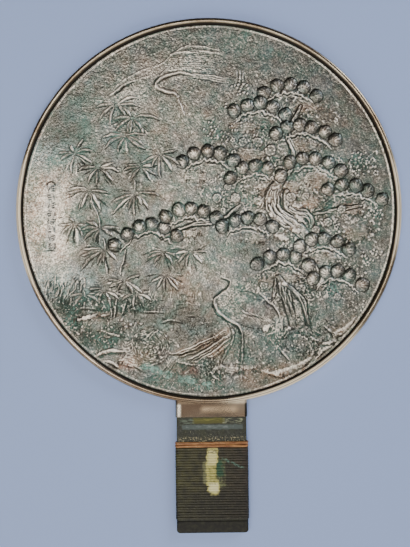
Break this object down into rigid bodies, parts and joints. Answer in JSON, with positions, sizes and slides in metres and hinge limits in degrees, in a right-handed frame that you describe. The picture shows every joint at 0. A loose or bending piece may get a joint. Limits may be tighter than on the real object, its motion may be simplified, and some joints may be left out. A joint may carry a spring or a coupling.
{
  "type": "handled bronze mirror",
  "caption": "Round cast bronze hand mirror with a raised rim, a low relief of pine, bamboo, cranes and tortoise on its back, and a flat handle wound with cane.",
  "frame": {"origin": "centre of the polished round face, which the mirror lies on", "axes": "+Z out of the relief side, -Y along the handle, +X to the right when the relief is read upright"},
  "size_m": [0.242, 0.323, 0.0054],
  "materials": {
    "bronze": "cast tin bronze, worn brown with blue-green patina in the hollows; the rim is bare and the other side polished",
    "lacquered_winding": "fine split cane under old dark lacquer",
    "split_cane": "orange-brown cane, satin"
  },
  "bodies": {
    "root": {"mirror_casting": "bronze", "grip_winding": "lacquered_winding", "cane_binding": "split_cane"}
  },
  "joints": []
}
